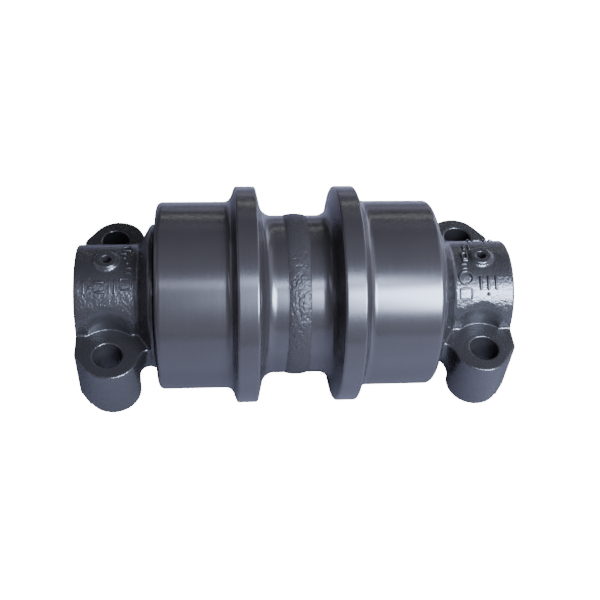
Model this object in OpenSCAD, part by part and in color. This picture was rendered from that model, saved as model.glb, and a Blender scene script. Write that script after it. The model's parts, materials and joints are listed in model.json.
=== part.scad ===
// Double-flange track roller with two bolted end collars.
// Origin: on the shaft's axis at mid-length. Y runs along the shaft, X to the front bolts,
// and -Z to the faces that bolt up against the track frame. Millimetres.

/* [Shell] */
// Diameter of the two treads
tread_d = 160; // [156:1:164]
// Diameter of the flanges
flange_d = 186; // [180:1:190]
// Diameter of the waist between the flanges
waist_d = 136; // [132:1:138]
// Distance from the middle to a shell's outer end
shell_end = 116.5; // [116.5:0.5:117]
// Distance from the middle to a flange's outer edge
flange_outer = 50.4; // [48:0.2:52]
// Width of a flange at its rim
flange_w = 16; // [14:0.5:18]

/* [Weld] */
// Width of the weld bead over the joint
bead_w = 20; // [18:1:22]
// Height of the bead's crown above the waist
bead_h = 2; // [1:0.5:3]

/* [Shaft] */
// Diameter of the fixed shaft
shaft_d = 60; // [58:1:62]
// Length of the fixed shaft
shaft_l = 362; // [356:1:364]
// Radial running clearance of the shaft in its bushes
running_gap = 0.05; // [0.01:0.01:0.1]

/* [Collars] */
// Distance from the middle to a collar's outer face
collar_end = 183; // [182:0.5:184]
// Diameter of the collar's hub
hub_d = 88.6; // [86:0.2:90]
// Diameter of the seal cup that faces the shell
cup_d = 122.8; // [120:0.4:124]
// Height of the bolt seats above the shaft's axis
seat_z = 2; // [0:0.5:4]
// Distance from the shaft's axis down to the mounting faces
mount_drop = 48; // [46:0.5:50]

/* [Mounting bolts] */
// Bolt spacing across the roller
bolt_x = 130; // [128:1:134]
// Bolt spacing along the roller
bolt_y = 312; // [308:1:314]
// Diameter of the bolt holes
bolt_hole_d = 24; // [20:0.5:26]
// Diameter of the round bosses at the bolts
boss_d = 45; // [42:1:46]
// Diameter of the spot face round a bolt
spot_d = 53; // [50:1:54]

/* [Seals] */
// Mean gap between a shell and its seal cup
cup_gap = 1; // [0.8:0.1:1.2]
// Diameter of the rubber load rings' section
toric_d = 5.7; // [5:0.1:5.7]

/* [Hidden] */
$fn = 96;

paint = "#4a4b55";
steel = "#9a9b9e";
bronze = "#b08a4a";
rubber = "#202020";
cut = 1; // overrun of a cutting solid past the face it cuts

// Shell
tread_r = tread_d / 2;
flange_r = flange_d / 2;
waist_r = waist_d / 2;
flange_inner = flange_outer - flange_w;
flange_lean = 4.6; // how far each flank of a flange leans over its full height
oil_room_r = 42;
root_r = 60; // bottom of the weld groove
groove_half = bead_w / 2 - 1.5;

// Bush and thrust faces
bush_r = 36;
bush_start = 40;
thrust_face = 98;
bush_flange_r = 45;
bush_flange_t = 3;
end_play = 0.5; // on each side, between a bush flange and its collar

// Seals: both halves of a seal mirror about the middle of the gap
seal_mid = shell_end + cup_gap / 2;
seal_depth = 9.5; // from the middle of the gap to either cavity's floor
mouth_r = 55;
floor_r = 50;
seal_face_gap = 0.05; // each metal ring's face stands this far from the middle
toric_at = [48.5, seal_mid + 6.25]; // centre of the rubber ring's section

// Collar
hub_r = hub_d / 2;
cup_r = cup_d / 2;
spigot_r = 40;
bore_r = shaft_d / 2 + 0.02;
cup_face = shell_end + cup_gap;
cup_rim = cup_face + 4;
cone_end = cup_rim + 10.2;
block_start = 133.7;
relief_w = 52; // shallow channel between the front and back mounting faces
relief_h = 2;
boss_r = boss_d / 2;
bolt_s = bolt_y / 2;

// Lock pin and its boss
pin_s = 156.8;
pin_r = 3.7;
pin_hole_r = 3.75;
pin_low = 10;
pin_high = 39;
pin_boss_r = 9.3;
pin_boss_top = 46.5;

// Shaft details
shaft_r = shaft_d / 2;
shaft_end = shaft_l / 2;
oil_r = 4;
o_ring_s = 140;
o_ring_r = 1.42; // radius of the O-ring's section
o_groove_r = 27.1;
plug_recess_r = 12.5;
plug_recess_h = 6;
plug_thread_r = 8;
plug_thread_l = 14;
washer_t = 1.5;

function unit(v) = v / norm(v);

// The points of an arc of radius r that rounds the corner at b between a and c.
function corner_arc(a, b, c, r, steps = 5) =
    r == 0 ? [b] :
    let (
        u = unit(a - b),
        w = unit(c - b),
        half = acos(u * w) / 2,
        centre = b + unit(u + w) * r / sin(half),
        from = b + u * r / tan(half) - centre,
        to = b + w * r / tan(half) - centre,
        start = atan2(from.y, from.x),
        turn = atan2(cross(from, to), from * to)
    )
    [for (i = [0:steps]) centre + r * [cos(start + turn * i / steps), sin(start + turn * i / steps)]];

// An outline from corners given as [x, y, rounding radius].
function rounded(corners) =
    let (n = len(corners), at = [for (k = corners) [k.x, k.y]])
    [for (i = [0:n - 1]) each corner_arc(at[(i + n - 1) % n], at[i], at[(i + 1) % n], corners[i].z)];

// A body of revolution about Y, from an outline in [radius, distance outboard].
module turned(outline) {
    rotate([-90, 0, 0]) rotate_extrude() polygon(outline);
}

// A rod along Y between two stations.
module rod(r, from, to) {
    translate([0, from, 0]) rotate([-90, 0, 0]) cylinder(r = r, h = to - from);
}

// Every handed piece is drawn for the right (+Y) end.
module left() {
    mirror([0, 1, 0]) children();
}

module roller_half() {
    color(paint) turned(rounded([
        [root_r, 0, 0],
        [waist_r, groove_half, 0],
        [waist_r, flange_inner - 1.2 * flange_lean, 7],
        [flange_r, flange_inner, 2],
        [flange_r, flange_outer, 2],
        [tread_r, flange_outer + flange_lean, 7],
        [tread_r, shell_end, 5],
        [mouth_r, shell_end, 0.6],
        [floor_r, seal_mid - seal_depth, 0.6],
        [bush_flange_r + 0.2, seal_mid - seal_depth, 0],
        [bush_flange_r + 0.2, thrust_face, 0],
        [bush_r, thrust_face, 0],
        [bush_r, bush_start, 0],
        [oil_room_r, bush_start - 4, 2],
        [oil_room_r, 0, 0]
    ]));
}

module roller_half_left() { left() roller_half(); }
module roller_half_right() { roller_half(); }

module weld_bead() {
    half = bead_w / 2;
    color(paint) turned([
        [root_r, 0],
        [waist_r, groove_half],
        [waist_r, half],
        [waist_r + 0.65 * bead_h, half - 1.4],
        [waist_r + bead_h, half - 6],
        [waist_r + bead_h, 6 - half],
        [waist_r + 0.65 * bead_h, 1.4 - half],
        [waist_r, -half],
        [waist_r, -groove_half]
    ]);
}

module bush() {
    color(bronze) turned([
        [shaft_r + running_gap + 0.8, bush_start],
        [bush_r, bush_start],
        [bush_r, thrust_face],
        [bush_flange_r, thrust_face],
        [bush_flange_r, thrust_face + bush_flange_t],
        [shaft_r + running_gap, thrust_face + bush_flange_t],
        [shaft_r + running_gap, bush_start + 0.8]
    ]);
}

module bush_left() { left() bush(); }
module bush_right() { bush(); }

// The metal ring on the collar's side. Its lapped face meets its twin at the middle of the gap.
module seal_ring() {
    face = seal_mid + seal_face_gap;
    color(steel) turned([
        [41.5, face + 8.2],
        [41.5, face + 1.2],
        [43, face],
        [50, face],
        [50, face + 1.9],
        [47.5, face + 2.5],
        [43.6, face + 8.2]
    ]);
}

// The rubber ring sits between the metal ring's ramp and the cavity's sloping wall.
module toric() {
    color(rubber) rotate([-90, 0, 0]) rotate_extrude()
        translate(toric_at) circle(r = toric_d / 2, $fn = 32);
}

// Turns a collar-side seal piece into its twin on the shell's side of the gap.
module shell_side() {
    translate([0, 2 * seal_mid, 0]) mirror([0, 1, 0]) children();
}

module seal_ring_fixed_left() { left() seal_ring(); }
module seal_ring_fixed_right() { seal_ring(); }
module toric_fixed_left() { left() toric(); }
module toric_fixed_right() { toric(); }
module seal_ring_rotating_left() { left() shell_side() seal_ring(); }
module seal_ring_rotating_right() { shell_side() seal_ring(); }
module toric_rotating_left() { left() shell_side() toric(); }
module toric_rotating_right() { shell_side() toric(); }

// Hub, cone, seal cup and the spigot that reaches in to the bush's flange.
module collar_turned() {
    turned(rounded([
        [bore_r, thrust_face + bush_flange_t + end_play, 0],
        [spigot_r, thrust_face + bush_flange_t + end_play, 1],
        [spigot_r, cup_face, 0],
        [cup_r, cup_face, 1],
        [cup_r, cup_rim, 1.5],
        [hub_r, cone_end, 4],
        [hub_r, collar_end, 4],
        [bore_r, collar_end, 0]
    ]));
}

// The ring-shaped room for the fixed half of the seal, open towards the shell.
module seal_room() {
    floor_s = seal_mid + seal_depth;
    slope = (mouth_r - floor_r) / (floor_s - cup_face);
    turned(rounded([
        [spigot_r, cup_face - cut, 0],
        [mouth_r + slope * cut, cup_face - cut, 0],
        [floor_r, floor_s, 0.6],
        [spigot_r, floor_s, 0]
    ]));
}

// Plan of the block that carries the bolts: two round bosses, each with a straight flat that runs
// tangent from its circle to the corner at the outer face.
module block_plan() {
    reach = collar_end - bolt_s;
    lean = acos(boss_r / reach);
    for (side = [-1, 1]) {
        centre = [side * bolt_x / 2, bolt_s];
        translate(centre) circle(r = boss_r);
        polygon([
            [0, block_start],
            [centre.x, block_start],
            centre,
            centre + boss_r * [side * sin(lean), cos(lean)],
            [centre.x, collar_end],
            [0, collar_end]
        ]);
    }
}

// Below the seats the seal cup carries on at full radius as far as the block, and a concave
// fillet runs from the cup out to each boss.
module cup_skirt() {
    height = seat_z + mount_drop;
    inside = bolt_x / 4;
    edge = bolt_x / 2;
    intersection() {
        rod(cup_r, cup_rim - 1, block_start + 2);
        translate([-cup_r, cup_rim - 2, -mount_drop]) cube([cup_d, 20, height]);
    }
    for (side = [-1, 1])
        translate([0, 0, -mount_drop]) linear_extrude(height) polygon(rounded([
            [side * inside, block_start + 2, 0],
            [side * inside, cup_rim + 3, 0],
            [side * (edge - 18), cup_rim + 3, 0],
            [side * (edge - 9), block_start - 2, 8],
            [side * edge, block_start, 0],
            [side * edge, block_start + 2, 0]
        ]));
}

module collar() {
    color(paint) difference() {
        union() {
            collar_turned();
            cup_skirt();
            translate([0, 0, -mount_drop]) linear_extrude(seat_z + mount_drop) block_plan();
            translate([0, pin_s, shaft_r + 2]) cylinder(r = pin_boss_r, h = pin_boss_top - shaft_r - 2);
        }
        rod(bore_r, thrust_face, collar_end + cut);
        seal_room();
        for (side = [-1, 1]) translate([side * bolt_x / 2, bolt_s, 0]) {
            translate([0, 0, seat_z]) cylinder(r = spot_d / 2, h = hub_r);
            translate([0, 0, -mount_drop - cut])
                cylinder(r = bolt_hole_d / 2, h = seat_z + mount_drop + 2 * cut);
        }
        translate([0, pin_s, 0]) cylinder(r = pin_hole_r, h = pin_boss_top + cut);
        translate([-relief_w / 2, block_start - 20, -mount_drop - cut])
            cube([relief_w, collar_end - block_start + 20 + cut, relief_h + cut]);
    }
}

module collar_left() { left() collar(); }
module collar_right() { collar(); }

module shaft() {
    chamfer = 1.5;
    color(steel) difference() {
        turned([
            [0, -shaft_end],
            [shaft_r - chamfer, -shaft_end],
            [shaft_r, chamfer - shaft_end],
            [shaft_r, shaft_end - chamfer],
            [shaft_r - chamfer, shaft_end],
            [0, shaft_end]
        ]);
        rod(oil_r, -oil_r, shaft_end - plug_recess_h);
        rod(plug_thread_r + 0.02, shaft_end - plug_recess_h - plug_thread_l, shaft_end - plug_recess_h);
        rod(plug_recess_r, shaft_end - plug_recess_h, shaft_end + cut);
        cylinder(r = oil_r - 1, h = shaft_r + cut);
        for (side = [-1, 1]) {
            translate([0, side * pin_s, pin_low - 1]) cylinder(r = pin_hole_r, h = shaft_r);
            translate([0, side * o_ring_s, 0]) o_ring_groove();
        }
    }
}

module o_ring_groove() {
    width = 4;
    rotate([-90, 0, 0]) difference() {
        translate([0, 0, -width / 2]) cylinder(r = shaft_r + cut, h = width);
        translate([0, 0, -width]) cylinder(r = o_groove_r, h = 2 * width);
    }
}

module shaft_o_ring() {
    color(rubber) translate([0, o_ring_s, 0]) rotate([-90, 0, 0]) rotate_extrude()
        translate([o_groove_r + o_ring_r + 0.04, 0]) circle(r = o_ring_r, $fn = 24);
}

module shaft_o_ring_left() { left() shaft_o_ring(); }
module shaft_o_ring_right() { shaft_o_ring(); }

module lock_pin() {
    chamfer = 0.6;
    color(steel) translate([0, pin_s, 0]) rotate_extrude() polygon([
        [0, pin_low],
        [pin_r - chamfer, pin_low],
        [pin_r, pin_low + chamfer],
        [pin_r, pin_high - chamfer],
        [pin_r - chamfer, pin_high],
        [0, pin_high]
    ]);
}

module lock_pin_left() { left() lock_pin(); }
module lock_pin_right() { lock_pin(); }

module oil_plug() {
    head_h = 3.6;
    seat = shaft_end - plug_recess_h + washer_t;
    color(steel) difference() {
        union() {
            rod(plug_thread_r - 0.03, seat - plug_thread_l, seat + 1);
            rod(plug_recess_r - 1, seat, seat + head_h);
        }
        translate([0, seat + head_h - 7, 0]) rotate([-90, 0, 0]) cylinder(r = 5, h = 7 + cut, $fn = 6);
    }
}

module plug_washer() {
    floor_s = shaft_end - plug_recess_h;
    color(bronze) difference() {
        rod(plug_recess_r - 0.5, floor_s, floor_s + washer_t);
        rod(plug_thread_r + 0.2, floor_s - cut, floor_s + washer_t + cut);
    }
}

roller_half_left();
roller_half_right();
weld_bead();
bush_left();
bush_right();
seal_ring_rotating_left();
seal_ring_rotating_right();
toric_rotating_left();
toric_rotating_right();
shaft();
collar_left();
collar_right();
seal_ring_fixed_left();
seal_ring_fixed_right();
toric_fixed_left();
toric_fixed_right();
shaft_o_ring_left();
shaft_o_ring_right();
lock_pin_left();
lock_pin_right();
oil_plug();
plug_washer();
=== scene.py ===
# %% [markdown]
# # A track roller in dark enamel
# A track roller carries an excavator on its chain. A heavy shell of two forged halves, welded
# together at the waist, turns on a fixed shaft, and a cast collar bolts each end of the shaft up
# under the track frame. The whole thing is sprayed with one dark enamel after it is assembled.
#
# The working model comes first: every solid is already in its place, and this lesson dresses it.
# The shell, the weld and the collars are made again here with softer edges and a real skin.

# %% Load the working model
import json
import math

import bpy
import numpy as np
from mathutils import Matrix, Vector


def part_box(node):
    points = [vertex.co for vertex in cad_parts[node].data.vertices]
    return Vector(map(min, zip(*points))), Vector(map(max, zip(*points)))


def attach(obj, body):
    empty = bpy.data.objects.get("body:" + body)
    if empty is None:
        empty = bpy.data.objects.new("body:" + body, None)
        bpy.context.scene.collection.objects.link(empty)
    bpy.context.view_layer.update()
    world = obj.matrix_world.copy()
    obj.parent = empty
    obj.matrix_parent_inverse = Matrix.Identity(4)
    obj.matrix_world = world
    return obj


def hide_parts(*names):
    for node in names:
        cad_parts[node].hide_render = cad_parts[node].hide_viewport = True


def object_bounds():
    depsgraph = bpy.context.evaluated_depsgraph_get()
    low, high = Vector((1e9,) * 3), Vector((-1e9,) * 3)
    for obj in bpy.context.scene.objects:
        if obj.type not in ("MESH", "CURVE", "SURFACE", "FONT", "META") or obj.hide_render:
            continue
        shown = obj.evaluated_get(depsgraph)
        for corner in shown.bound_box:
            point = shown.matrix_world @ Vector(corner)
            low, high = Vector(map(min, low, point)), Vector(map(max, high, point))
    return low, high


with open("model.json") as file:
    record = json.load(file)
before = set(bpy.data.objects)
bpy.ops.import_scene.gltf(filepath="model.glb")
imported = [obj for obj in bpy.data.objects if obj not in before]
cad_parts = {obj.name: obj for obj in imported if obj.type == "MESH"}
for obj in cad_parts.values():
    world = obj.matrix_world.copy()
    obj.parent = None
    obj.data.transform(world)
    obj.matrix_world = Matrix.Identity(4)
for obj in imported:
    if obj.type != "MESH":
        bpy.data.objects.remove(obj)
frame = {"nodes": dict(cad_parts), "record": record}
cad_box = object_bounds()
nodes = frame["nodes"]
record = frame["record"]
print("solids loaded:", len(nodes))

# %% [markdown]
# ## Sizes
# A maker measures before cutting. Each size below is read from the working model's boxes and
# mounts, and a few edge radii are given. Lengths in the shapes are millimetres, because
# that is how such a part is drawn, and `MM` turns them to Blender's metres at the very end.

# %% Measure the solids
MM = 0.001


def reach(node, axis):
    """How far a node extends on the plus side of an axis, in millimetres."""
    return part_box(node)[1][axis] / MM


mounts = {m["name"]: m for m in record["mounts"]}
bolts = mounts["frame_bolts"]["dims"]

SHELL_END = reach("roller_half_right", 1)
FLANGE_R = reach("roller_half_right", 0)
BEAD_HALF = reach("weld_bead", 1)
BEAD_R = reach("weld_bead", 0)
SHAFT_R = reach("shaft", 0)
COLLAR_END = reach("collar_right", 1)
CUP_R = reach("collar_right", 2)
BOLT_X = bolts["spacing_x_mm"] / 2
BOLT_S = bolts["spacing_y_mm"] / 2
BOLT_HOLE_R = bolts["hole_r_mm"]
BOSS_R = reach("collar_right", 0) - BOLT_X
SEAT_Z = mounts["bolt_seat_right"]["pos_m"][2] / MM
MOUNT_Z = mounts["mounting_face_right"]["pos_m"][2] / MM
TREAD_R = mounts["tread_right"]["pos_m"][2] / MM
PIN_R = reach("lock_pin_right", 0)
PIN_S = reach("lock_pin_right", 1) - PIN_R
print("flange radius", round(FLANGE_R, 1), "collar end", round(COLLAR_END, 1), "bolt", BOLT_X, BOLT_S)

# %% [markdown]
# ## From arrays to a mesh
# A surface here is a grid of points worked out as whole arrays, so a mesh is only the last step.
# Writing the arrays straight into the mesh is quick even with a hundred thousand faces. One test
# keeps every piece honest: the volume inside a closed skin whose faces look outwards is positive,
# so a skin that comes out negative is turned round.

# %% Helpers that make a mesh


def enclosed_volume(points, quads):
    """One sixth of the sum of a . (b x c) over the two triangles that each quad splits into."""
    a, b, c, d = (points[quads[:, k]] for k in range(4))
    triangles = np.einsum("ij,ij->i", a, np.cross(b, c)) + np.einsum("ij,ij->i", a, np.cross(c, d))
    return triangles.sum() / 6


def make_piece(name, points, quads):
    """A smooth closed mesh from points in millimetres and rows of four corners."""
    volume = enclosed_volume(points, quads)
    if volume < 0:
        quads = quads[:, ::-1]
    mesh = bpy.data.meshes.new(name)
    mesh.vertices.add(len(points))
    mesh.vertices.foreach_set("co", (points * MM).astype(np.float32).ravel())
    mesh.loops.add(quads.size)
    mesh.loops.foreach_set("vertex_index", quads.astype(np.int32).ravel())
    mesh.polygons.add(len(quads))
    mesh.polygons.foreach_set("loop_start", np.arange(0, quads.size, 4, dtype=np.int32))
    mesh.update(calc_edges=True)
    mesh.shade_smooth()
    piece = bpy.data.objects.new(name, mesh)
    bpy.context.scene.collection.objects.link(piece)
    print(f"{name}: {len(quads)} faces, {abs(volume) / 1000:.0f} cm3")
    return piece


def ring_quads(around, along):
    """Quad corners of a closed tube: `around` steps round the axis, `along` round the outline."""
    i = np.arange(around)[:, None]
    j = np.arange(along)[None, :]
    nxt_i, nxt_j = (i + 1) % around, (j + 1) % along
    corners = [i * along + j, nxt_i * along + j, nxt_i * along + nxt_j, i * along + nxt_j]
    return np.stack([np.broadcast_to(c, (around, along)).ravel() for c in corners], axis=1)


# %% [markdown]
# ## An outline with real edge radii
# Turned parts could be cylinders with a bevel, but a lathe drawing says more: it gives every
# corner and the radius that breaks it. The outline below is walked corner by corner. Each corner
# becomes an arc, and each straight run keeps a point close to both of its ends, so that smooth
# shading bends only at the corner and the long faces stay true.

# %% Helpers that draw and turn an outline


def arc_round(before, corner, after, radius, steps):
    """Points of the arc of that radius that touches both sides of the corner.

    The centre lies on the corner's bisector, radius / sin(half angle) away from the corner."""
    u, w = before - corner, after - corner
    u, w = u / np.hypot(*u), w / np.hypot(*w)
    half = math.acos(float(np.clip(u @ w, -1, 1))) / 2
    middle = (u + w) / np.hypot(*(u + w))
    centre = corner + middle * radius / math.sin(half)
    start = corner + u * radius / math.tan(half) - centre
    end = corner + w * radius / math.tan(half) - centre
    first = math.atan2(start[1], start[0])
    turn = math.atan2(start[0] * end[1] - start[1] * end[0], start @ end)
    angle = first + turn * np.linspace(0, 1, steps)
    return centre + radius * np.stack([np.cos(angle), np.sin(angle)], axis=1)


def lathe_outline(corners, hold=0.35, longest=6.0):
    """A closed outline through corners [radius, distance, edge radius], as an array of points.

    Straight runs get a point `hold` millimetres from each end and no step over `longest`."""
    at = np.array([c[:2] for c in corners], dtype=float)
    count = len(at)
    arcs = []
    for k in range(count):
        edge = max(corners[k][2], 0.15)
        steps = 4 if edge < 1 else 10
        arcs.append(arc_round(at[k - 1], at[k], at[(k + 1) % count], edge, steps))
    points = []
    for k in range(count):
        points.append(arcs[k])
        start, end = arcs[k][-1], arcs[(k + 1) % count][0]
        length = np.hypot(*(end - start))
        if length > 3 * hold:
            inner = np.linspace(hold, length - hold, max(2, math.ceil(length / longest)))
            points.append(start + (end - start) * inner[:, None] / length)
    return np.concatenate(points)


def turn_on_lathe(name, outline, side=1, around=240):
    """Carries an outline [radius, distance] once round the Y axis.

    A point at radius r, distance s and angle t lands on (r sin t, side * s, r cos t)."""
    t = np.linspace(0, 2 * np.pi, around, endpoint=False)[:, None]
    r, s = outline[:, 0][None, :], outline[:, 1][None, :]
    points = np.stack([r * np.sin(t), side * s + 0 * t, r * np.cos(t)], axis=-1).reshape(-1, 3)
    return make_piece(name, points, ring_quads(around, len(outline)))


# %% [markdown]
# ## The two halves of the shell
# Each half is one forging, turned on a lathe: a wide tread that the chain's rail rolls on, a
# flange that keeps the chain from wandering, and a waist. Inside there is a bore for the bush
# and a dish for the seal. One outline gives both halves, and the left one is drawn with its
# distances negated.

# %% Turn the shell halves
WAIST_R = 68.0
RIM_R = FLANGE_R - 0.04  # a hair inside the working solid
FLANGE_OUTER = 50.6
FLANGE_INNER = 33.3
FLANK_LEAN = 4.8  # the flanks of a forged flange lean, so that it leaves the die
WAIST_FILLET, FLANGE_EDGE, TREAD_FILLET, TREAD_EDGE = 11, 2.4, 7, 5
WELD_ROOT_R = 60.0
GROOVE_HALF = BEAD_HALF - 1.5
BUSH_R = 36.0
BUSH_LENGTH = 61.0
BUSH_START = reach("bush_right", 1) - BUSH_LENGTH
BUSH_FLANGE_R = 45.2
THRUST_FACE = 98.0
SEAL_MID = SHELL_END + 0.5
SEAL_DEPTH = 9.5
SEAL_MOUTH_R, SEAL_FLOOR_R = 55.0, 50.0
OIL_ROOM_R = 42.0

shell_outline = lathe_outline([
    (WELD_ROOT_R, 0, 0),
    (WAIST_R, GROOVE_HALF, 0.3),
    (WAIST_R, FLANGE_INNER - 1.2 * FLANK_LEAN, WAIST_FILLET),
    (RIM_R, FLANGE_INNER, FLANGE_EDGE),
    (RIM_R, FLANGE_OUTER, FLANGE_EDGE),
    (TREAD_R, FLANGE_OUTER + FLANK_LEAN, TREAD_FILLET),
    (TREAD_R, SHELL_END, TREAD_EDGE),
    (SEAL_MOUTH_R, SHELL_END, 0.8),
    (SEAL_FLOOR_R, SEAL_MID - SEAL_DEPTH, 0.8),
    (BUSH_FLANGE_R, SEAL_MID - SEAL_DEPTH, 0),
    (BUSH_FLANGE_R, THRUST_FACE, 0),
    (BUSH_R, THRUST_FACE, 0),
    (BUSH_R, BUSH_START, 0),
    (OIL_ROOM_R, BUSH_START - 4, 2),
    (OIL_ROOM_R, 0, 0),
])

shell_halves = {}
for hand, side in (("left", -1), ("right", 1)):
    shell_halves[hand] = turn_on_lathe(f"shell_half_{hand}", shell_outline, side)

# %% [markdown]
# ## Rough surfaces from a lattice of random numbers
# Castings and weld metal are never smooth. A sine pattern would repeat and show it, so the
# roughness comes from a lattice of seeded random numbers with a soft blend between neighbours.
# Adding the same thing at a finer spacing gives a skin with both swells and pimples.

# %% Helpers for roughness
LATTICE = 48
lattice_values = np.random.default_rng(20).uniform(-1, 1, (LATTICE, LATTICE, LATTICE))


def soft_noise(x, y, z, spacing, shift=0.0):
    """Random heights on a cubic lattice, blended with 3t^2 - 2t^3 along each axis, between -1 and 1."""
    result = 0.0
    cells, parts = [], []
    for v in (x, y, z):
        scaled = np.asarray(v, dtype=float) / spacing + 1000.0 + shift
        cell = np.floor(scaled).astype(np.int64)
        t = scaled - cell
        cells.append(cell % LATTICE)
        parts.append(t * t * (3 - 2 * t))
    for corner in range(8):
        weight, index = 1.0, []
        for axis in range(3):
            high = corner >> axis & 1
            weight = weight * (parts[axis] if high else 1 - parts[axis])
            index.append((cells[axis] + high) % LATTICE)
        result = result + weight * lattice_values[tuple(index)]
    return result


def ease(value, low, high):
    """0 below low, 1 above high, and 3t^2 - 2t^3 between them."""
    t = np.clip((value - low) / (high - low), 0, 1)
    return t * t * (3 - 2 * t)


# %% [markdown]
# ## The weld
# The bead fills a groove all round the waist. Most of it was laid by machine, and a stretch was
# laid over it where the run started and stopped, which left a lumpy patch. A plain band would
# look like a strap, so the bead's height is worked out over the whole ring: a low crown, fine
# ripples that lean with the torch's travel, and lumps that fade in over the patch. A narrow
# undercut marks both edges.

# %% Values for the weld
BEAD_STEPS = 960
ACROSS = 72
PATCH_FROM, PATCH_TO = math.radians(3), math.radians(74)  # angles up from +X, towards +Z
PATCH_FADE = math.radians(9)
RAGGED = 0.12  # radians that the patch's two ends wander by
ROOM_FOR_LUMPS = 0.45  # mm kept free between the crown and the working solid's radius
RIPPLE_HEIGHT, RIPPLE_LENGTH = 0.02, 3.4  # mm
SWELL, GRAIN, FINE_GRAIN, RUN = 0.25, 0.17, 0.13, 0.18  # heights of the lumps, mm
PIT_DEPTH = 0.4  # mm
UNDERCUT = 0.55  # mm deep along the edges of the patch
EDGE_AT, EDGE_WIDTH = 0.94, 0.03  # of the undercut, as shares of the half width
print("bead", round(2 * BEAD_HALF, 1), "mm wide and up to", round(BEAD_R - WAIST_R, 2), "mm high")

# %% Lay the weld bead


def weld_surface():
    """Height over the waist = crown * (1 - |w|^2.5) + lumps + ripples - undercut, for w from -1 to 1.

    The lumps are soft noise at several spacings, full in the patch and nearly nothing outside it.
    To the right they turn to runs along the bead. The underside is the groove's V, which closes
    the ring."""
    w = np.concatenate([[-1.0], np.linspace(-0.99, 0.99, ACROSS), [1.0]])
    t = np.linspace(0, 2 * np.pi, BEAD_STEPS, endpoint=False)[:, None]
    s = w * BEAD_HALF * 0.985
    x, z = WAIST_R * np.sin(t), WAIST_R * np.cos(t)
    up_from_x = (np.pi / 2 - t + np.pi) % (2 * np.pi) - np.pi
    ragged = RAGGED * soft_noise(x, s, z, spacing=5.0, shift=1.7)
    fades_in = ease(up_from_x + ragged, PATCH_FROM - PATCH_FADE, PATCH_FROM + PATCH_FADE)
    fades_out = ease(up_from_x + ragged, PATCH_TO - PATCH_FADE, PATCH_TO + PATCH_FADE)
    patch = fades_in * (1 - fades_out)
    body = 1 - w ** 6
    crown = (BEAD_R - WAIST_R - ROOM_FOR_LUMPS) * (1 - np.abs(w) ** 2.5)
    travel = t * WAIST_R
    ripples = RIPPLE_HEIGHT * np.sin(2 * np.pi * (travel + 0.35 * s ** 2 / BEAD_HALF) / RIPPLE_LENGTH)
    swells = SWELL * soft_noise(x, s, z, spacing=6.5, shift=4.4)
    grains = GRAIN * soft_noise(x, s, z, spacing=1.6)
    grains = grains + FINE_GRAIN * soft_noise(x, s, z, spacing=0.95, shift=7.3)
    runs = RUN * soft_noise(travel / 4.5, s, 0 * t, spacing=1.3, shift=2.2)
    to_right = ease(w, 0.1, 0.7)
    lumps = swells + grains * (1 - 0.6 * to_right) + runs * to_right
    pits = -PIT_DEPTH * ease(soft_noise(x, s, z, spacing=1.9, shift=3.1), 0.3, 0.7)
    skin = body * ((0.04 + 0.96 * patch) * (lumps + pits) + (1 - patch) * ripples)
    edge = np.exp(-((np.abs(w) - EDGE_AT) / EDGE_WIDTH) ** 2)
    depth = UNDERCUT * (0.25 + 0.75 * patch) * np.where(w > 0, 1.0, 0.6)
    height = np.clip(crown + skin - depth * edge, -0.6, BEAD_R - WAIST_R - 0.02)
    radius = WAIST_R + height
    under_r = np.broadcast_to([[WAIST_R - 0.8, WELD_ROOT_R + 0.2, WAIST_R - 0.8]], (BEAD_STEPS, 3))
    under_s = np.broadcast_to([[GROOVE_HALF - 0.4, 0.0, 0.4 - GROOVE_HALF]], (BEAD_STEPS, 3))
    radius = np.concatenate([radius, under_r], axis=1)
    s = np.concatenate([np.broadcast_to(s, (BEAD_STEPS, len(w))), under_s], axis=1)
    points = np.stack([radius * np.sin(t), s, radius * np.cos(t)], axis=-1)
    return points.reshape(-1, 3), ring_quads(BEAD_STEPS, radius.shape[1])


weld = make_piece("weld_run", *weld_surface())

# %% [markdown]
# ## Collars as distance fields
# A cast collar has no sharp inside corner anywhere: the hub runs into the cup, the bosses grow
# out of the hub, and sand gives it all a soft skin. Boolean cuts with bevels break down at such
# corners. A distance field doesn't: each simple shape says how far a point is from it, negative
# inside, and two shapes join with a fillet of a chosen radius by one formula. The casting is
# blended first and roughened, and the machined faces and bores are cut from it afterwards, so
# they come out clean, as they do in the workshop.

# %% Helpers that join and cut distance fields


def join(a, b, radius):
    """Union with a concave fillet: max(r, min(a, b)) - hypot(max(r - a, 0), max(r - b, 0))."""
    from_corner = np.hypot(np.maximum(radius - a, 0), np.maximum(radius - b, 0))
    return np.maximum(radius, np.minimum(a, b)) - from_corner


def common(a, b, radius):
    """Intersection with a rounded edge: min(-r, max(a, b)) + hypot(max(r + a, 0), max(r + b, 0))."""
    from_corner = np.hypot(np.maximum(radius + a, 0), np.maximum(radius + b, 0))
    return np.minimum(-radius, np.maximum(a, b)) + from_corner


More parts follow.
